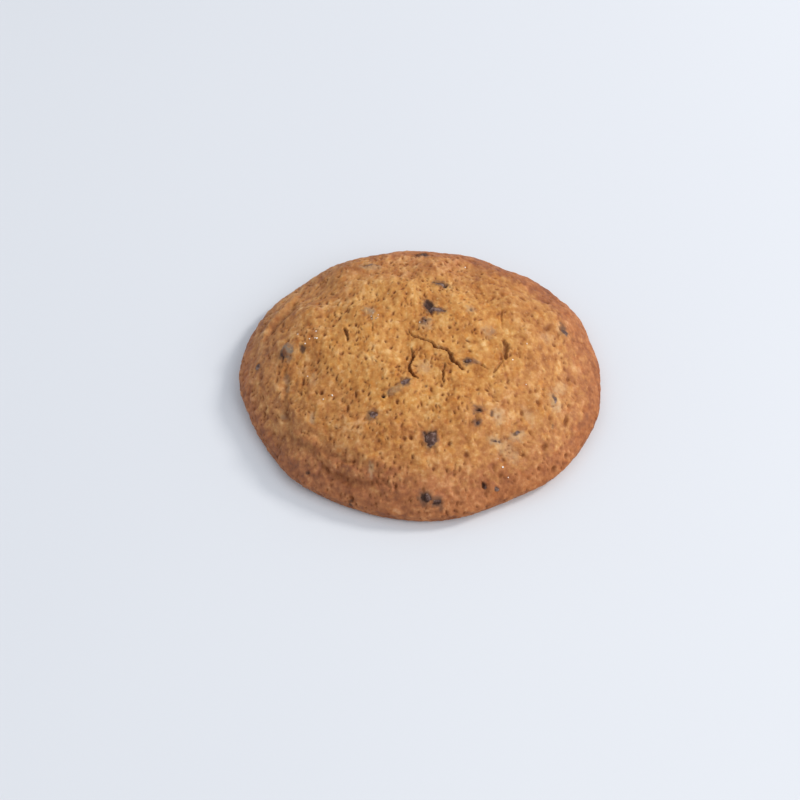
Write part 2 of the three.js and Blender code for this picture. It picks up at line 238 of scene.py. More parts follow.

# Greyish stains where a chip lies just under the crust, and painted shade along the groove at the left: as
# above, and how strong and how dark each is.
STAINS_AND_SHADE = (
    (1.6, 5.3, 2.6, 2.8, 90, 0.5, 0.4), (-7.3, -19.3, 1.3, 3.2, 30, 0.6, 0.95),
    (22.0, -25.6, 2.1, 2.7, 90, 0.6, 0.2), (27.6, -30.4, 1.7, 2.8, 15, 0.55, 0.4),
    (38.8, -18.0, 2.2, 3.4, 95, 0.5, 0.15), (-38.7, -0.4, 1.9, 3.5, 93, 1.15, 1.0),
    (15.5, -8.9, 0.5, 2.4, 0, 0.4, 1.0), (20.2, 4.0, 2.2, 3.2, 85, 0.45, 0.7),
    (-15.2, 10.6, 2.0, 2.4, 90, 0.6, 0.8), (0.9, -10.6, 2.4, 2.9, 90, 0.4, 0.2),
    # (-39.3, -9.6) is painted shade along the groove at the left.
    (-39.3, -9.6, 0.9, 2.0, 91, 0.6, 1.0), (-13.7, -41.4, 0.9, 1.9, 91, 0.6, 0.4),
    (-30.8, -24.7, 0.8, 2.0, 92, 0.6, 0.6), (21.0, -32.6, 1.7, 2.6, 0, 0.6, 0.45),
    (15.0, 12.0, 1.6, 2.4, 90, 0.45, 0.6), (42.6, 10.0, 1.8, 2.4, 90, 0.3, 0.5),
    (-15.5, 34.0, 2.0, 3.6, -10, 0.5, 0.6), (24.0, -34.6, 2.6, 4.6, -40, 0.4, 0.1),
    (40.5, -13.0, 2.0, 4.0, 60, 0.35, 0.0), (31.0, -24.0, 1.6, 3.6, 120, 0.3, 0.0),
    (-31.0, -12.0, 1.2, 3.0, 95, 0.3, 0.4), (37.5, 5.0, 2.6, 2.8, 90, 0.3, 0.1),
    # Both of these are painted shade along the groove at the left.
    (-38.8, -13.2, 0.9, 1.3, 91, 0.5, 1.0), (-39.6, -21.2, 1.1, 1.8, 95, 0.45, 0.9),
)

# Where each kind of mark starts to fade and where it is gone, as a share of its ellipse.
WINDOW_FADE = (0.85, 1.1)
MELTED_FADE = (0.75, 1.3)
SPECK_FADE = (0.5, 1.3)
STAIN_FADE = (0.45, 1.25)
SPECK_DEPTH = 0.25

# The browner ring round each opening, where the chocolate soaked in.
HALO = {"reach": 1.3, "strength": 0.75, "fade": (0.4, 1.1)}

# How thick the crust over a hidden chip is, and how far a chip may lift it. In an opening the crust lies
# this far below the chip's face, within these depths.
SKIN = 0.12
MOST_LIFT = 1.2
POCKET = 0.25
OPENING_DEPTHS = (0.15, 0.7)

# A chip's height is looked for this near its middle, along a ray this long each way.
CHIP_NEAR = 9.0
CHIP_RAY = 5.0
NO_CHIP = -9.0

# A chip's own lumps, how much it shrank, how many times its solid is subdivided and how near its points weld.
CHIP_LUMPS = ((2.0, 0.22, 7), (0.9, 0.12, 27))
CHIP_SHRINK = 0.08
CHIP_ROUNDING = 2
WELD_DISTANCE = 0.01

# The underside's dents: the size of the noise, how much of it is cut off, its height and where it starts.
DENTS = ((2.4, 0.1, 0.5, 5), (9.0, 0, 0.3, 15))
DENTS_FADE = 0.05
FLAT_BELOW = 0.01

# How brown the crust is: from the crown outwards, more at the back, and round the edge by direction:
# (degrees, near the edge, right at it). By direction it is partly painted light and shade: the back left
# (120, 150) is painted lighter, and the very edge at the right and front right (0, 330) darker as painted
# shade where it turns under. The underside has one amount all over.
CROWN_BROWNING = {"amount": 0.45, "belt": (0.42, 0.62)}
BACK_BROWNING = {"amount": 0.22, "from": 22.0, "to": 38.0}
RIM_BROWNING_AND_LIGHT = (
    (0, 0.5, 0.95), (30, 0.8, 0.05), (60, 0.55, 0.7), (90, 0.85, 0.3), (120, -0.1, -0.3),
    (150, -0.05, 0.15), (180, 0.2, 0.95), (210, -0.05, 0.65), (240, 0.55, 0.8), (270, 0.6, 1.15),
    (300, 0.35, 1.0), (330, 0.15, 1.4), (360, 0.5, 0.95),
)
UNDERSIDE_BROWNING = 1.0

# A pore this deep is as dark as it gets: its moist inside, with painted shade.
DARKEST_PORE = 0.42

# A painted sheen near the edge, a pale reflection of the room put in the crust's colour, most in this
# direction.
PAINTED_SHEEN = {"bearing": 205, "least": 0.03, "most": 0.15, "belt": (0.7, 0.88)}

# Sugar crystals that sparkle in the crust: the middle of each patch, its radius and how many.
SUGAR = ((-13.2, 8.6, 1.4, 6), (-33, 3, 4, 6), (33, -8, 9, 3), (26, -37, 7, 3), (0, 0, 48, 6))
CRYSTAL_SIZES = (0.16, 0.36)
CRYSTAL_STRETCH = (0.7, 1.3)
SUGAR_SEED = 5

# The camera: how far it stands from its target, how steeply it looks down, and where the target shows.
TARGET = Vector((0, 0, 8 * MM))
CAMERA_DISTANCE = 430.9 * MM
CAMERA_ELEVATION = 49.0
LENS = 65.0
SENSOR = 36.0
FRAME_PIXELS = 800
TARGET_PIXEL = (419.4, 366.4)


def smooth(value, low, high):
    """From 0 at low to 1 at high, level at both ends."""
    share = np.clip((value - low) / (high - low), 0, 1)
    return share * share * (3 - 2 * share)


def noise_at(points, size, start):
    """Soft noise from about -1 to 1 at each point, with lumps of this size. Each start has its own."""
    scaled = points / size + start
    return np.array([noise.noise(point) for point in scaled.tolist()])


def edge_radius(bearing):
    """The outline's radius in each direction."""
    radius = np.full_like(bearing, MEAN_RADIUS)
    for waves, height, turn in LOBES:
        radius += height * np.cos(waves * (bearing - math.radians(turn)))
    return radius


def profile():
    """The profile from the crown over the edge to the foot's middle: share of the radius, and height."""
    turn = np.linspace(0, math.pi / 2, PROFILE_STEPS)
    dome = np.sin(turn) ** (2 / DOME_FLATNESS)
    rise = EDGE_HEIGHT + (CROWN_HEIGHT - EDGE_HEIGHT) * np.maximum(np.cos(turn), 0) ** (2 * SHOULDER)
    under = FOOT_SHARE + (1 - FOOT_SHARE) * np.cos(turn[1:])
    drop = EDGE_HEIGHT * (1 - np.sin(turn[1:]))
    foot = FOOT_SHARE * (1 - turn[1:] / turn[-1])
    share = np.concatenate((dome, under, foot))
    height = np.concatenate((rise, drop, np.zeros_like(foot)))
    return share, height


def ring_step(place, crown, edge, foot):
    """How far the next ring lies from the one at this place along the profile."""
    if place < crown:
        return CROWN_STEP
    if place < edge:
        return DOME_STEP
    return RIM_STEP if place < foot else FOOT_STEP


def ring_places():
    """Each ring of the mesh: its share of the radius, its height, its outward direction and its step."""
    share, height = profile()
    run = np.hypot(np.diff(share) * MEAN_RADIUS, np.diff(height))
    reach = np.concatenate(((0,), np.cumsum(run)))
    crown = CROWN_SHARE * MEAN_RADIUS
    edge = reach[PROFILE_STEPS - 1]
    foot = reach[2 * PROFILE_STEPS - 2]
    along = []
    steps = []
    place = CROWN_STEP
    while place < reach[-1] - FOOT_STEP / 2:
        step = ring_step(place, crown, edge, foot)
        along.append(place)
        steps.append(step)
        place += step
    along = np.array(along)
    ahead = np.minimum(along + SLOPE_REACH, reach[-1])
    behind = np.maximum(along - SLOPE_REACH, 0)
    out = (np.interp(ahead, reach, share) - np.interp(behind, reach, share)) * MEAN_RADIUS
    climb = np.interp(ahead, reach, height) - np.interp(behind, reach, height)
    length = np.hypot(out, climb)
    shares = np.interp(along, reach, share)
    heights = np.interp(along, reach, height)
    return shares, heights, -climb / length, out / length, steps


def stitch(first, first_count, second, second_count):
    """The triangles between two rings: first and second are the numbers of their first points."""
    i = np.arange(first_count)
    beside = -((first_count - (2 * i + 1) * second_count) // (2 * first_count))
    inner = np.stack((first + i, second + beside % second_count, first + (i + 1) % first_count), 1)
    j = np.arange(second_count)
    beside = ((2 * j + 1) * first_count - second_count) // (2 * second_count) + 1
    outer = np.stack((second + j, second + (j + 1) % second_count, first + beside % first_count), 1)
    return np.concatenate((inner, outer))


def dough_net():
    """The smooth dough: its points, their outward directions and shares of the radius, and its triangles."""
    shares, heights, outs, climbs, steps = ring_places()
    points = [np.array([[0, 0, CROWN_HEIGHT]])]
    normals = [np.array([[0, 0, 1.0]])]
    point_shares = [np.zeros(1)]
    faces = []
    count_before = 0
    start_before = 0
    start = 1
    for share, height, out, climb, step in zip(shares, heights, outs, climbs, steps):
        count = max(FEWEST_POINTS, round(2 * math.pi * share * MEAN_RADIUS / step))
        bearing = 2 * math.pi * np.arange(count) / count
        radius = share * edge_radius(bearing)
        cos = np.cos(bearing)
        sin = np.sin(bearing)
        points.append(np.stack((radius * cos, radius * sin, np.full(count, height)), 1))
        normals.append(np.stack((out * cos, out * sin, np.full(count, climb)), 1))
        point_shares.append(np.full(count, share))
        if count_before:
            faces.append(stitch(start_before, count_before, start, count))
        else:
            fan = start + np.arange(count)
            faces.append(np.stack((np.zeros(count, int), fan, start + (np.arange(count) + 1) % count), 1))
        start_before, count_before = start, count
        start += count
    points.append(np.zeros((1, 3)))
    normals.append(np.array([[0, 0, -1.0]]))
    point_shares.append(np.zeros(1))
    fan = start_before + np.arange(count_before)
    after = start_before + (np.arange(count_before) + 1) % count_before
    faces.append(np.stack((fan, np.full(count_before, start), after), 1))
    return tuple(np.concatenate(rows) for rows in (points, normals, point_shares, faces))


def swell_height(points, shares):
    """Broad swells: plane waves in well-spread directions, the longer the higher."""
    inside = 1 - smooth(shares, *SWELL["short_stop"])
    golden = math.pi * (3 - math.sqrt(5))
    height = np.zeros(len(points))
    for i in range(SWELL["waves"]):
        climb = 1 - (2 * i + 1) / SWELL["waves"]
        flat = math.sqrt(1 - climb * climb)
        length = SWELL["longest"] * (SWELL["shortest"] / SWELL["longest"]) ** (i / (SWELL["waves"] - 1))
        direction = np.array((flat * math.cos(i * golden), flat * math.sin(i * golden), climb))
        wave = np.sin(2 * math.pi * (points @ direction) / length + SWELL["phase"] * i * i)
        height += SWELL["slope"] * length * wave * (inside if length < SWELL["short"] else 1)
    return height


def wrinkle_height(points, shares):
    """Wrinkles along the edge at the front left."""
    bearing = np.degrees(np.arctan2(points[:, 1], points[:, 0])) % 360
    side = smooth(bearing, WRINKLES["from"] - WRINKLES["fade"], WRINKLES["from"] + WRINKLES["fade"])
    side *= 1 - smooth(bearing, WRINKLES["to"] - WRINKLES["fade"], WRINKLES["to"] + WRINKLES["fade"])
    belt = smooth(shares, WRINKLES["inner"] - WRINKLES["blend"], WRINKLES["inner"])
    belt *= 1 - smooth(shares, WRINKLES["outer"], 1)
    sway = WRINKLES["sway"] * np.sin(np.radians(bearing * WRINKLES["sway_waves"]))
    sway += WRINKLES["ragged"] * noise_at(points, WRINKLES["ragged_size"], WRINKLES["start"])
    along = np.hypot(points[:, 0], points[:, 1]) + sway
    return WRINKLES["height"] * side * belt * np.cos(2 * math.pi * along / WRINKLES["spacing"])


def layered(points, layers):
    """Layers of soft noise, each with its own size, height and start."""
    height = np.zeros(len(points))
    for size, amount, start in layers:
        height += amount * noise_at(points, size, start)
    return height


def sway_at(points, size, start):
    """How far to each side a sway pushes the points, from about -1 to 1."""
    return np.stack([noise_at(points, size, start + more) for more in SWAY_STARTS], 1)


def drawn_back(points):
    """The points with Y pressed together, most at the back, so that noise made from them is drawn out."""
    x, y, z = points.T
    return np.stack((x, DRAWN[0] * y - y**2 / DRAWN[1], z), 1)


def crumb_height(points):
    """Rounded crumbs with narrow gaps between them, plainer in some patches than in others."""
    swayed = points + CRUMB["sway"] * sway_at(points, CRUMB["sway_size"], CRUMB["start"])
    near = np.array([noise.voronoi(point)[0][:2] for point in (swayed / CRUMB["size"]).tolist()])
    round_top = CRUMB["height"] * (CRUMB["middle"] - near[:, 0])
    gap = CRUMB["depth"] * np.exp(-(((near[:, 1] - near[:, 0]) / CRUMB["gap"]) ** 2))
    patches = noise_at(points, CRUMB_PATCH["size"], CRUMB_PATCH["start"])
    patch = smooth(patches, CRUMB_PATCH["low"], CRUMB_PATCH["high"])
    return (round_top - gap) * (CRUMB_PATCH["plainest"] + (1 - CRUMB_PATCH["plainest"]) * patch)


def grain_height(points):
    """The crust's fine grain: crumbs, soft noise and short streaks along Y."""
    points = drawn_back(points)
    drawn = points * np.array((1, 1 / STREAK["stretch"], 1))
    streaks = STREAK["height"] * noise_at(drawn, STREAK["size"], STREAK["start"])
    return crumb_height(points) + layered(points, GRAIN) + streaks


def pore_depth(points, shares, heights):
    """How deep the pores go at each point."""
    draw = np.random.default_rng(PORE_SEED)
    tree = KDTree(len(points))
    for i, point in enumerate(points.tolist()):
        tree.insert(point, i)
    tree.balance()
    depth = np.zeros(len(points))
    crooked = points + PORE_WARP["reach"] * sway_at(points, PORE_WARP["size"], PORE_WARP["start"])

    def dig(middle, half_width, half_length, bearing, deep):
        found = tree.find_range(points[middle].tolist(), PORE_REACH * max(half_width, half_length))
        near = np.array([index for _, index, _ in found])
        away = crooked[near] - crooked[middle]
        along = away[:, 0] * math.cos(bearing) + away[:, 1] * math.sin(bearing)
        across = away[:, 1] * math.cos(bearing) - away[:, 0] * math.sin(bearing)
        across = np.hypot(across, away[:, 2] * PORE_RISE)
        pit = deep * np.exp(-2 * ((along / half_length) ** 2 + (across / half_width) ** 2))
        depth[near] = np.maximum(depth[near], pit)

    dome = np.flatnonzero(heights > LOWEST_PORE)
    patches = noise_at(points[dome], PORE_CROWD["size"], PORE_CROWD["start"])
    crowd = smooth(patches, PORE_CROWD["low"], PORE_CROWD["high"]) + PORE_CROWD["least"]
    crowd *= 1 - PORE_THINNING["share"] * smooth(points[dome, 0], PORE_THINNING["from"], PORE_THINNING["to"])
    crowd *= np.where(shares[dome] < CROWN_SHARE, (CROWN_STEP / DOME_STEP) ** 2, 1)
    for pores in PORES:
        for middle in draw.choice(dome, pores["count"], replace=False, p=crowd / crowd.sum()):
            half_width = draw.uniform(*pores["half_width"])
            half_length = half_width * draw.uniform(*pores["aspect"])
            deep = draw.uniform(*pores["depth"])
            dig(middle, half_width, half_length, math.pi / 2 + draw.normal(0, PORE_SWAY), deep)
    for x, y, half_width, half_length, bearing, deep in PITS:
        middle = dome[np.hypot(points[dome, 0] - x, points[dome, 1] - y).argmin()]
        dig(middle, half_width, half_length, math.radians(bearing), deep)
    return depth


def crack_line(route, ragged, size):
    """Points close together along a crack's route, half its width at each, and how its ends run out."""
    route = np.array(route, float)
    reach = np.concatenate(((0,), np.cumsum(np.hypot(*np.diff(route[:, :2], axis=0).T))))
    places = np.linspace(0, reach[-1], max(FEWEST_PLACES, round(reach[-1] / CRACK_STEP)))
    x, y, width = (np.interp(places, reach, route[:, column]) for column in range(3))
    flat = np.stack((x, y, np.zeros_like(x)), 1)
    x = x + ragged * noise_at(flat, size, LINE_STARTS[0])
    y = y + ragged * noise_at(flat, size, LINE_STARTS[1])
    end = np.minimum(places, reach[-1] - places)
    return np.stack((x, y), 1), width / 2, smooth(end, *END_FADE)


def near_line(points, heights, line, reach):
    """The dome's points within reach of a line, and each one's nearest place on it and distance from it."""
    low = line.min(0) - reach
    high = line.max(0) + reach
    inside = (points[:, :2] > low).all(1) & (points[:, :2] < high).all(1) & (heights > LOWEST_CRACK)
    near = np.flatnonzero(inside)
    away = np.linalg.norm(points[near, None, :2] - line[None], axis=2)
    return near, away.argmin(1), away.min(1)


def crack_relief(points, heights):
    """What the cracks and folds take out of the crust, and the painted shade in them, 0 to 1."""
    relief = np.zeros(len(points))
    shade = np.zeros(len(points))
    uneven = noise_at(points, CRACK_UNEVEN["size"], CRACK_UNEVEN["start"])
    for depth, route in CRACKS:
        line, half_widths, ends = crack_line(route, *CRACK_RAGGED)
        near, nearest, distance = near_line(points, heights, line, CRACK_REACH)
        half = half_widths[nearest] * (CRACK_UNEVEN["middle"] + CRACK_UNEVEN["sway"] * uneven[near])
        taper = ends[nearest] * np.clip(half / THIN_CRACK, SHALLOWEST, 1)
        half = np.maximum(half, NARROWEST_CUT)
        cut = np.clip(CUT_FULLNESS - (distance / half) ** 2, 0, 1) ** 0.5
        beside = (distance - half - CRACK_LIP["away"]) / CRACK_LIP["width"]
        lip = CRACK_LIP["height"] * taper * np.exp(-(beside**2))
        relief[near] = np.where(cut > 0, np.minimum(relief[near], -depth * taper * cut), relief[near] + lip)
        soft = np.clip(CRACK_SHADE["edge"] - distance / half, 0, 1)
        dark = min(1, max(CRACK_SHADE["least"], depth - CRACK_SHADE["from_depth"]))
        shade[near] = np.maximum(shade[near], soft * dark * taper)
    for depth, dark, route in FOLDS:
        line, half_widths, ends = crack_line(route, *FOLD_SWAY)
        near, nearest, distance = near_line(points, heights, line, FOLD_REACH)
        dip = np.exp(-((distance / half_widths[nearest]) ** 2)) * ends[nearest]
        relief[near] -= depth * dip
        shade[near] = np.maximum(shade[near], dark * dip * (FOLD_SHADE[0] + FOLD_SHADE[1] * uneven[near]))
    return relief, shade


def ellipse_share(points, x, y, half_width, half_length, bearing):
    """How far each point lies from an ellipse's middle on the plan: 1 on its edge."""
    cos = math.cos(math.radians(bearing))
    sin = math.sin(math.radians(bearing))
    along = (points[:, 0] - x) * cos + (points[:, 1] - y) * sin
    across = (points[:, 1] - y) * cos - (points[:, 0] - x) * sin
    return np.hypot(along / half_length, across / half_width)


def spots(points, heights, ellipses, ragged, fade):
    """How far each point lies inside any of the ellipses, from 0 to 1, with ragged edges that fade."""
    inside = np.zeros(len(points))
    for x, y, half_width, half_length, bearing, *strength in ellipses:
        share = ellipse_share(points, x, y, half_width, half_length, bearing) + ragged
        inside = np.maximum(inside, (1 - smooth(share, *fade)) * (strength[0] if strength else 1))
    return inside * (heights > LOWEST_MARK)


def stains_at(points, heights, ragged):
    """How strongly chips below the crust stain it, with painted shade along the left groove, and how dark it
    is.
    """
    strength = np.zeros(len(points))
    dark = np.zeros(len(points))
    for x, y, half_width, half_length, bearing, amount, depth in STAINS_AND_SHADE:
        share = ellipse_share(points, x, y, half_width, half_length, bearing) + ragged
        here = amount * (1 - smooth(share, *STAIN_FADE)) * (heights > LOWEST_MARK)
        dark = np.where(here > strength, depth, dark)
        strength = np.maximum(strength, here)
    return strength, dark


def halo_at(points, heights, ragged):
    """How brown the ring round each opening is."""
    wider = []
    for x, y, half_width, half_length, bearing in WINDOWS:
        wider.append((x, y, half_width + HALO["reach"], half_length + HALO["reach"], bearing))
    return HALO["strength"] * spots(points, heights, wider, ragged, HALO["fade"])


def chip_heights(points, normals, heights, chips):
    """How high the chips stand over the smooth crust at each point, and far below it where none is."""
    corners = []
    faces = []
    middles = []
    for chip in chips:
        start = len(corners)
        places = [vertex.co / MM for vertex in chip.data.vertices]
        corners += places
        faces += [[start + v for v in polygon.vertices] for polygon in chip.data.polygons]
        middles.append(sum(places, Vector()) / len(places))
    tree = BVHTree.FromPolygons(corners, faces)
    above = np.full(len(points), NO_CHIP)
    away = np.linalg.norm(points[:, None] - np.array(middles)[None], axis=2).min(1)
    for i in np.flatnonzero((away < CHIP_NEAR) & (heights > LOWEST_MARK)):
        normal = Vector(normals[i])
        hit = tree.ray_cast(Vector(points[i]) + normal * CHIP_RAY, -normal, 2 * CHIP_RAY)
        if hit[0] is not None:
            above[i] = CHIP_RAY - hit[3]
    return above


def mesh_object(name, points, faces):
    """A smooth-shaded mesh object from points in millimetres."""
    mesh = bpy.data.meshes.new(name)
    mesh.from_pydata((points * MM).tolist(), [], faces.tolist())
    mesh.shade_smooth()
    made = bpy.data.objects.new(name, mesh)
    bpy.context.scene.collection.objects.link(made)
    return made


def baked_chip(node):
    """One chip: the solid's drop, rounded by the oven's heat and a little lumpy."""
    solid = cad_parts[node]
    chip = bpy.data.objects.new(f"{node}_shown", solid.data.copy())
    bpy.context.scene.collection.objects.link(chip)
    weld = chip.modifiers.new("weld", "WELD")
    weld.merge_threshold = WELD_DISTANCE * MM
    rounding = chip.modifiers.new("round", "SUBSURF")
    rounding.levels = CHIP_ROUNDING
    mesh = bpy.data.meshes.new_from_object(chip.evaluated_get(bpy.context.evaluated_depsgraph_get()))
    chip.modifiers.clear()
    chip.data = mesh
    low, high = (np.array(corner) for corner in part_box(node))
    points = np.array([vertex.co for vertex in mesh.vertices])
    points = low + (points - points.min(0)) / (points.max(0) - points.min(0)) * (high - low)
    middle = points.mean(0)
    outward = points - middle
    outward /= np.linalg.norm(outward, axis=1)[:, None]
    lumps = layered(points / MM, CHIP_LUMPS) - CHIP_SHRINK
    points += outward * lumps[:, None] * MM
    mesh.vertices.foreach_set("co", points.ravel())
    mesh.shade_smooth()
    return chip


def add_attribute(mesh, name, values):
    """Stores one number for each point of the mesh, for the shader to read."""
    mesh.attributes.new(name, "FLOAT", "POINT").data.foreach_set("value", values.astype(np.float32))


def underside_dents(points, shares):
    """How far the underside's dents rise from the paper."""
    dents = np.zeros(len(points))
    for size, cut_off, height, start in DENTS:
        dents += height * np.maximum(noise_at(points, size, start) - cut_off, 0)
    return dents * smooth(FOOT_SHARE - shares, 0, DENTS_FADE)


def browning_at(points, shares, turn):
    """Browning with painted edge light and shade; turn is each point's direction from the middle, in degrees.
    """
    degrees, near_edge, at_edge = zip(*RIM_BROWNING_AND_LIGHT)
    browning_and_light = CROWN_BROWNING["amount"] * smooth(shares, *CROWN_BROWNING["belt"])
    browning_and_light += BACK_BROWNING["amount"] * smooth(points[:, 1], BACK_BROWNING["from"], BACK_BROWNING["to"])
    # Round the edge, by direction, partly painted light and shade.
    browning_and_light += smooth(shares, *NEAR_EDGE) * np.interp(turn, degrees, near_edge)
    browning_and_light += smooth(shares, *AT_EDGE) * np.interp(turn, degrees, at_edge)
    return browning_and_light


def open_crust(relief, above, window):
    """The crust's relief once it covers the hidden chips and is torn open over the others."""
    shallowest, deepest = OPENING_DEPTHS
    covered = np.maximum(relief, np.minimum(above + SKIN, relief + MOST_LIFT))
    opened = np.clip(above - POCKET, relief - deepest, relief - shallowest)
    return covered * (1 - window) + opened * window


def dress_dough(chips):
    """The dough's own surface, with every swell, crack, pore and chip bump in it."""
    points, normals, shares, faces = dough_net()
    heights = points[:, 2]
    turn = np.degrees(np.arctan2(points[:, 1], points[:, 0])) % 360
    # How much each point faces the side of the painted sheen.
    sheen_side = np.maximum(np.cos(np.radians(turn - PAINTED_SHEEN["bearing"])), 0)
    ragged = layered(points, RAGGED)

    relief = smooth(heights, 0, EDGE_HEIGHT) * (swell_height(points, shares) + wrinkle_height(points, shares))
    swollen = points + normals * relief[:, None]
    shift = -(swollen.min(0) + swollen.max(0)) / 2 * np.array((1, 1, 0))
    fine_fade = smooth(heights, 0, FINE_FADE)
    rim_lumps = 1 - (1 - RIM_LUMPS["share"]) * smooth(shares, *RIM_LUMPS["belt"])
    relief += fine_fade * layered(points, LUMPS) * rim_lumps
    grain = grain_height(points) * (1 + RIM_GRAIN * sheen_side * smooth(shares, *NEAR_EDGE))
    relief += fine_fade * grain
    pores = pore_depth(points, shares, heights)
    cracks, crack_shade = crack_relief(points, heights)
    relief += cracks - pores

    above = chip_heights(points + shift, normals, heights, chips)
    relief = open_crust(relief, above, spots(points, heights, WINDOWS, ragged, WINDOW_FADE))
    melted = spots(points, heights, WINDOWS, ragged, MELTED_FADE)
    speck_and_shade = spots(points, heights, SPECKS_AND_SHADE, ragged, SPECK_FADE)
    relief -= SPECK_DEPTH * speck_and_shade
    stain_and_shade, stain_dark = stains_at(points, heights, ragged)

    under = heights < FLAT_BELOW
    dents = underside_dents(points, shares)
    points = points + normals * np.where(under, 0, relief)[:, None]
    points[:, 2] += np.where(under, dents, 0)
    points[:, 2] = np.maximum(points[:, 2], 0)

    dough = mesh_object("dough_crust", points + shift, faces)
    painted_sheen = PAINTED_SHEEN["least"] + (PAINTED_SHEEN["most"] - PAINTED_SHEEN["least"]) * sheen_side
    looks = {
        # Browning, with painted light and shade round the edge.
        "browning_and_light": np.where(under, UNDERSIDE_BROWNING, browning_at(points, shares, turn)),
        # Pores, darker the deeper: their moist insides, partly painted shade.
        "pit": np.clip(pores / DARKEST_PORE, 0, 1),
        # A painted sheen: a pale reflection near the edge.
        "painted_sheen": painted_sheen * smooth(shares, *PAINTED_SHEEN["belt"]),
        # Painted shade in cracks and folds.
        "crack": crack_shade,
        # Chip stains, and painted shade along the groove at the left.
        "stain_and_shade": stain_and_shade,
        "stain_dark": stain_dark,
        "halo": halo_at(points, heights, ragged),
        "speck_and_shade": np.maximum(speck_and_shade, melted),
        # Chocolate, and painted shade in a few small holes and on a bump's side.
        "grain": grain,
    }
    for name, values in looks.items():
        add_attribute(dough.data, name, values)
    return dough


def sugar_crystals(dough):
    """Small sugar crystals, half sunk in the crust."""
    draw = np.random.default_rng(SUGAR_SEED)
    tree = BVHTree.FromObject(dough, bpy.context.evaluated_depsgraph_get())
    corner = np.array([(x, y, z) for x in (-1, 1) for y in (-1, 1) for z in (-1, 1)], float) / 2
    sides = ((0, 1, 3, 2), (4, 6, 7, 5), (0, 4, 5, 1), (2, 3, 7, 6), (0, 2, 6, 4), (1, 5, 7, 3))
    points = []
    faces = []
    for x, y, radius, count in SUGAR:
        for _ in range(count):
            away = radius * math.sqrt(draw.random())
            bearing = draw.uniform(0, 2 * math.pi)
            over = Vector((x + away * math.cos(bearing), y + away * math.sin(bearing), 2 * CROWN_HEIGHT)) * MM
            hit = tree.ray_cast(over, Vector((0, 0, -1)))[0]
            size = draw.uniform(*CRYSTAL_SIZES) * MM
            turn = Euler(draw.uniform(0, math.pi, 3)).to_matrix()
            stretch = draw.uniform(*CRYSTAL_STRETCH, 3)
            start = len(points)
            points += [hit + turn @ Vector(c * stretch * size) for c in corner]
            faces += [[start + v for v in side] for side in sides]
    mesh = bpy.data.meshes.new("sugar_crystals")
    mesh.from_pydata(points, [], faces)
    crystals = bpy.data.objects.new("sugar_crystals", mesh)
    bpy.context.scene.collection.objects.link(crystals)
    return crystals


class Shader:
    """A short way to build one material's node tree."""

    def __init__(self, name):
        self.material = bpy.data.materials.new(name)
        self.material.use_nodes = True
        self.tree = self.material.node_tree
        self.surface = self.tree.nodes["Principled BSDF"]
        self.where = None

    def add(self, kind, **settings):
        node = self.tree.nodes.new(kind)
        for key, value in settings.items():
            setattr(node, key, value)
        return node

    def join(self, source, target):
        self.tree.links.new(source, target)

    def attribute(self, name):
        return self.add("ShaderNodeAttribute", attribute_name=name).outputs["Fac"]

    def place(self):
        """The point's place on the object, with Y pressed together at the back as in drawn_back."""
        if self.where is None:
            parts = self.add("ShaderNodeSeparateXYZ")
            self.join(self.add("ShaderNodeTexCoord").outputs["Object"], parts.inputs[0])
            x, y, z = parts.outputs
            share = self.maths("MULTIPLY_ADD", y, -1 / (DRAWN[1] * MM), DRAWN[0])
            pressed = self.maths("MULTIPLY", y, share)
            whole = self.add("ShaderNodeCombineXYZ")
            for source, target in zip((x, pressed, z), whole.inputs):
                self.join(source, target)
            self.where = whole.outputs[0]
        return self.where

    def noise(self, size, detail=3.0, rough=0.5, vector=None):
        node = self.add("ShaderNodeTexNoise")
        node.inputs["Scale"].default_value = 1 / (size * MM)
        node.inputs["Detail"].default_value = detail
        node.inputs["Roughness"].default_value = rough
        self.join(vector if vector is not None else self.place(), node.inputs["Vector"])
        return node.outputs["Fac"]

    def maths(self, operation, first, second=None, third=None, clamp=False):
        node = self.add("ShaderNodeMath", operation=operation, use_clamp=clamp)
        for socket, value in zip(node.inputs, (first, second, third)):
            if value is None:
                continue
            if isinstance(value, (int, float)):
                socket.default_value = value
            else:
                self.join(value, socket)
        return node.outputs[0]

    def ramp(self, value, stops):
        node = self.add("ShaderNodeValToRGB")
        elements = node.color_ramp.elements
        while len(elements) < len(stops):
            elements.new(0.5)
        for element, (position, colour) in zip(elements, stops):
            element.position = position
            element.color = (*colour, 1)
        self.join(value, node.inputs["Fac"])
        return node.outputs["Color"]

    def mix(self, share, first, second, blend="MIX"):
        node = self.add("ShaderNodeMix", data_type="RGBA", blend_type=blend)
        for socket, value in ((node.inputs[0], share), (node.inputs[6], first), (node.inputs[7], second)):
            if isinstance(value, (int, float)):
                socket.default_value = value
            elif isinstance(value, tuple):
                socket.default_value = (*value, 1)
            else:
                self.join(value, socket)
        return node.outputs[2]

    def bump(self, height, strength, distance):
        node = self.add("ShaderNodeBump")
        node.inputs["Strength"].default_value = strength
        node.inputs["Distance"].default_value = distance * MM
        self.join(height, node.inputs["Height"])
        self.join(node.outputs["Normal"], self.surface.inputs["Normal"])


# Colours of the crust from its darkest grain to its lightest, where it is golden and where it is browned.
# The lightest are whitened a little, partly as painted glints.
GOLDEN = (
    (0.30, (0.30, 0.096, 0.014)),
    (0.43, (0.47, 0.193, 0.041)),
    (0.54, (0.59, 0.292, 0.082)),
    (0.67, (0.78, 0.492, 0.215)),
)
BROWNED = (
    (0.30, (0.160, 0.042, 0.009)),
    (0.44, (0.285, 0.086, 0.021)),
    (0.56, (0.41, 0.145, 0.042)),
    (0.70, (0.59, 0.276, 0.114)),
)

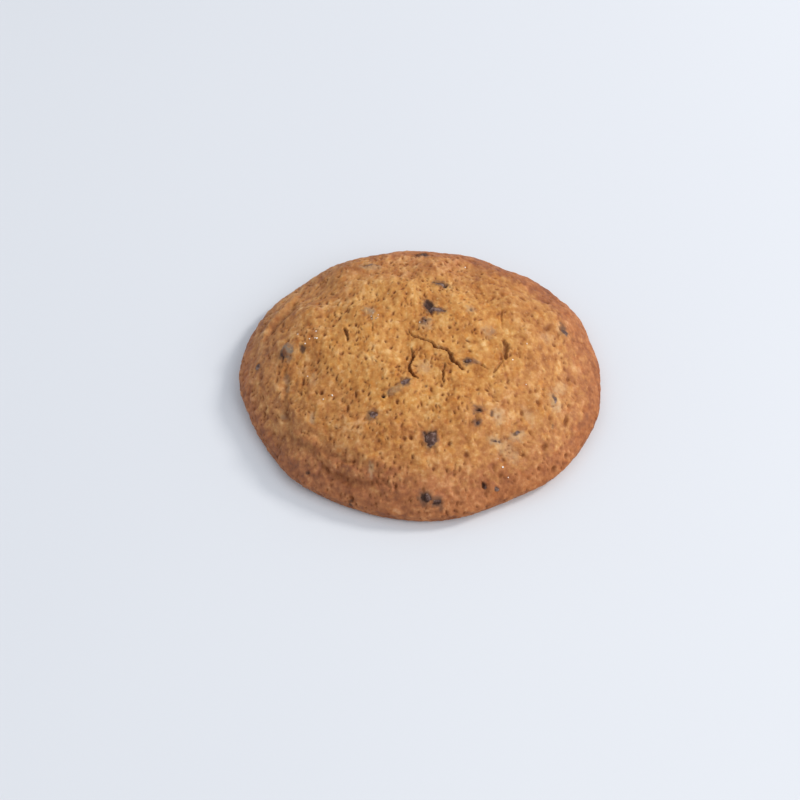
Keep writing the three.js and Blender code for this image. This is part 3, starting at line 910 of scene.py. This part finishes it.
# Colours over it: an orange tint, a painted sheen, the lightest and darkest stain, pale crumbs with painted
# glints on golden and on browned crust, dough soaked with chocolate, the moist insides of pores with painted
# shade, and the painted shade in cracks.
ORANGE_TINT = (1.0, 0.82, 0.45)
SHEEN_COLOUR = (0.36, 0.22, 0.17)
LIGHT_STAIN = (0.63, 0.425, 0.225)
DARK_STAIN = (0.205, 0.145, 0.100)
PALE_GOLDEN_AND_GLINT = (0.72, 0.48, 0.24)
PALE_BROWNED_AND_GLINT = (0.46, 0.21, 0.09)
SOAKED = (0.120, 0.058, 0.033)
PORE_MOIST_AND_SHADE = (0.20, 0.055, 0.009)
PAINTED_CRACK_SHADE = (0.16, 0.045, 0.009)

# The other materials, each from its darkest patch to its lightest, and the chocolate's roughness likewise.
CHOCOLATE = (0.064, 0.028, 0.018)
CHOCOLATE_PATCHES = ((0.36, CHOCOLATE), (0.5, (0.100, 0.048, 0.036)), (0.63, (0.23, 0.148, 0.122)))
CHOCOLATE_ROUGHNESS = ((0.3, (0.38,) * 3), (0.7, (0.6,) * 3))
SUGAR_SHADES = ((0.4, (0.80, 0.72, 0.62)), (0.6, (0.95, 0.92, 0.88)))
FLOOR_SHADES = ((0.3, (0.670, 0.690, 0.730)), (0.7, (0.690, 0.710, 0.745)))

# Noises in the crust's looks: the size in millimetres, how many finer layers it has, and how strong they are.
CRUST_NOISES = {
    "broad": (14, 3, 0.6),
    "middle": (3.4, 4, 0.65),
    "fine": (1.2, 2, 0.55),
    "brown": (2.3, 3, 0.6),
    "orange": (2.8, 3, 0.6),
    "blotch": (1.6, 3, 0.6),
    "crumb": (0.85, 1, 0.5),
    "bump": (0.65, 1, 0.5),
}

# The crust's tone, from dark to light: the shares of three noises and of the relief's own grain.
TONE_SHARES = {"broad": 0.35, "middle": 0.35, "fine": 0.30, "grain": 0.45}

# Patches with soft edges, made from a noise: how steep their edges are, and what is taken off.
ORANGE_PATCHES = (5.0, -2.6)
STAIN_BLOTCHES = (2.4, -0.35)
PALE_GRAINS_AND_GLINTS = (5.0, -3.1)

# How much the broad and the brown noise add to the browning, and what brings their middle back to none.
BROWN_NOISE = {"broad": 0.5, "brown": 1.5, "middle": 1.02}

# How strongly each shows at most.
ORANGE_MOST = 0.7
PALE_AND_GLINT_MOST = 0.4
PORE_MOST = 0.85
CRACK_MOST = 0.9

# The crust's least roughness and what a noise adds, how much light goes under it, and how far.
CRUST_ROUGHNESS = (0.42, 0.4)
UNDER_SKIN = 0.08
UNDER_SKIN_REACH = (1.2, 0.6, 0.25)


def crust_tone(shader, noises):
    """How light the crust's grain is at each point."""
    layers = {**noises, "grain": shader.attribute("grain")}
    tone = None
    for name, share in TONE_SHARES.items():
        layer = shader.maths("MULTIPLY", layers[name], share)
        tone = layer if tone is None else shader.maths("ADD", tone, layer)
    return tone


def crust_brownness(shader, noises):
    """How browned each point is, with its painted edge light and shade: the mesh's value, made patchy."""
    brown = shader.maths("MULTIPLY_ADD", noises["broad"], BROWN_NOISE["broad"], shader.attribute("browning_and_light"))
    brown = shader.maths("MULTIPLY_ADD", noises["brown"], BROWN_NOISE["brown"], brown)
    return shader.maths("SUBTRACT", brown, BROWN_NOISE["middle"], clamp=True)


def crust_colour(shader, noises):
    """Mottled gold and brown, with stains, pale crumbs, dark pores and cracks, and bits of chocolate."""
    tone = crust_tone(shader, noises)
    brown = crust_brownness(shader, noises)
    colour = shader.mix(brown, shader.ramp(tone, GOLDEN), shader.ramp(tone, BROWNED))
    orange = shader.maths("MULTIPLY_ADD", noises["orange"], *ORANGE_PATCHES, clamp=True)
    colour = shader.mix(shader.maths("MULTIPLY", orange, ORANGE_MOST), colour, ORANGE_TINT, "MULTIPLY")
    # Painted sheen: a pale reflection mixed into the colour near the edge.
    colour = shader.mix(shader.attribute("painted_sheen"), colour, SHEEN_COLOUR)
    # Chip stains, and painted shade along the groove at the left.
    stained = shader.mix(shader.attribute("stain_dark"), LIGHT_STAIN, DARK_STAIN)
    blotch = shader.maths("MULTIPLY_ADD", noises["blotch"], *STAIN_BLOTCHES)
    stain_and_shade = shader.maths("MULTIPLY", shader.attribute("stain_and_shade"), blotch, clamp=True)
    colour = shader.mix(stain_and_shade, colour, stained)
    # Pale grains of flour and sugar, which also stand as painted glints.
    light = shader.maths("MULTIPLY_ADD", noises["crumb"], *PALE_GRAINS_AND_GLINTS, clamp=True)
    pale_and_glint = shader.mix(brown, PALE_GOLDEN_AND_GLINT, PALE_BROWNED_AND_GLINT)
    colour = shader.mix(shader.maths("MULTIPLY", light, PALE_AND_GLINT_MOST), colour, pale_and_glint)
    colour = shader.mix(shader.attribute("halo"), colour, SOAKED)
    # Pores darkened by depth: their moist insides, partly painted shade.
    pit = shader.maths("MULTIPLY", shader.attribute("pit"), PORE_MOST, clamp=True)
    colour = shader.mix(pit, colour, PORE_MOIST_AND_SHADE)
    # Painted shade in cracks and folds.
    crack = shader.maths("MULTIPLY", shader.attribute("crack"), CRACK_MOST, clamp=True)
    colour = shader.mix(crack, colour, PAINTED_CRACK_SHADE)
    # Chocolate, and painted shade in a few small holes and on the side of a bump.
    return shader.mix(shader.attribute("speck_and_shade"), colour, CHOCOLATE)


def crust_material():
    """Golden brown crust: matte, grainy and a little translucent."""
    shader = Shader("baked_crust")
    noises = {name: shader.noise(*settings) for name, settings in CRUST_NOISES.items()}
    shader.join(crust_colour(shader, noises), shader.surface.inputs["Base Color"])
    smoothest, rougher = CRUST_ROUGHNESS
    roughness = shader.maths("ADD", shader.maths("MULTIPLY", noises["middle"], rougher), smoothest)
    shader.join(roughness, shader.surface.inputs["Roughness"])
    shader.surface.inputs["Specular IOR Level"].default_value = 0.27
    shader.surface.inputs["Subsurface Weight"].default_value = UNDER_SKIN
    shader.surface.inputs["Subsurface Radius"].default_value = tuple(reach * MM for reach in UNDER_SKIN_REACH)
    shader.surface.inputs["Subsurface Scale"].default_value = 1.0
    grain = shader.maths("ADD", noises["bump"], shader.maths("MULTIPLY", noises["fine"], 1.2))
    shader.bump(grain, strength=0.27, distance=0.2)
    return shader.material


def chocolate_material():
    """Dark chocolate, satin where it melted and set again."""
    shader = Shader("dark_chocolate")
    patches = shader.noise(1.2, 3, 0.65)
    shader.join(shader.ramp(patches, CHOCOLATE_PATCHES), shader.surface.inputs["Base Color"])
    shader.join(shader.ramp(patches, CHOCOLATE_ROUGHNESS), shader.surface.inputs["Roughness"])
    shader.surface.inputs["Specular IOR Level"].default_value = 0.25
    shader.bump(shader.noise(0.8, 3, 0.6), strength=0.8, distance=0.3)
    return shader.material


def sugar_material():
    """Clear white sugar."""
    shader = Shader("sugar")
    shader.join(shader.ramp(shader.noise(1.5, 2), SUGAR_SHADES), shader.surface.inputs["Base Color"])
    shader.surface.inputs["Roughness"].default_value = 0.2
    shader.surface.inputs["Specular IOR Level"].default_value = 0.7
    return shader.material


def floor_material():
    """A pale, matte studio floor."""
    shader = Shader("pale_floor")
    shader.join(shader.ramp(shader.noise(300, 2), FLOOR_SHADES), shader.surface.inputs["Base Color"])
    shader.surface.inputs["Roughness"].default_value = 0.7
    shader.surface.inputs["Specular IOR Level"].default_value = 0.2
    return shader.material


def build_cookie():
    """The chips, the dough round them and the sugar on it, each riding on the body."""
    chocolate = chocolate_material()
    chips = []
    for node in sorted(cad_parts):
        if node.startswith("chip_"):
            chip = baked_chip(node)
            chip.data.materials.clear()
            chip.data.materials.append(chocolate)
            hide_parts(node)
            chips.append(chip)
    dough = dress_dough(chips)
    dough.data.materials.append(crust_material())
    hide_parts("dough")
    crystals = sugar_crystals(dough)
    crystals.data.materials.append(sugar_material())
    for piece in (*chips, dough, crystals):
        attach(piece, "root")


def build_floor():
    """A plain floor, large enough to fill every view."""
    bpy.ops.mesh.primitive_plane_add(size=6)
    floor = bpy.context.object
    floor.name = "floor"
    floor.data.materials.append(floor_material())


def add_area(name, bearing, elevation, distance, size, power, colour):
    """A soft light that looks at the cookie from a bearing on the plan (0 is +X) and an elevation."""
    light = bpy.data.lights.new(name, "AREA")
    light.shape = "DISK"
    light.size = size
    light.energy = power
    light.color = colour
    lamp = bpy.data.objects.new(name, light)
    bpy.context.scene.collection.objects.link(lamp)
    across = math.cos(math.radians(elevation))
    towards = Vector((across * math.cos(math.radians(bearing)), across * math.sin(math.radians(bearing)),
                      math.sin(math.radians(elevation))))
    lamp.location = TARGET + towards * distance
    lamp.rotation_euler = towards.to_track_quat("Z", "Y").to_euler()


def build_light():
    """A pale room all round, a key light from the back right and a broad, softer one from the front right."""
    world = bpy.data.worlds.new("studio")
    bpy.context.scene.world = world
    world.use_nodes = True
    background = world.node_tree.nodes["Background"]
    background.inputs["Color"].default_value = (0.90, 0.94, 1.0, 1)
    background.inputs["Strength"].default_value = 0.74
    add_area("key", bearing=22, elevation=36, distance=1.6, size=0.35, power=12.5, colour=(1.0, 0.97, 0.93))
    add_area("window", bearing=-30, elevation=40, distance=1.6, size=1.2, power=9.0, colour=(1.0, 0.98, 0.96))


def build_camera():
    """The camera, turned a little off its target so that the cookie shows where the photograph has it."""
    camera = bpy.data.cameras.new("camera")
    camera.lens = LENS
    camera.sensor_width = SENSOR
    placed = bpy.data.objects.new("camera", camera)
    bpy.context.scene.collection.objects.link(placed)
    elevation = math.radians(CAMERA_ELEVATION)
    back = Vector((0, -math.cos(elevation), math.sin(elevation)))
    placed.location = TARGET + back * CAMERA_DISTANCE
    focal = LENS / SENSOR * FRAME_PIXELS
    aside = math.atan((TARGET_PIXEL[0] - FRAME_PIXELS / 2) / focal)
    down = math.atan((TARGET_PIXEL[1] - FRAME_PIXELS / 2) / focal)
    look = back.to_track_quat("Z", "Y")
    placed.rotation_euler = (look @ Euler((down, aside, 0)).to_quaternion()).to_euler()
    bpy.context.scene.camera = placed


build_camera()
build_light()
build_floor()
build_cookie()
bpy.context.scene.view_settings.view_transform = "Standard"
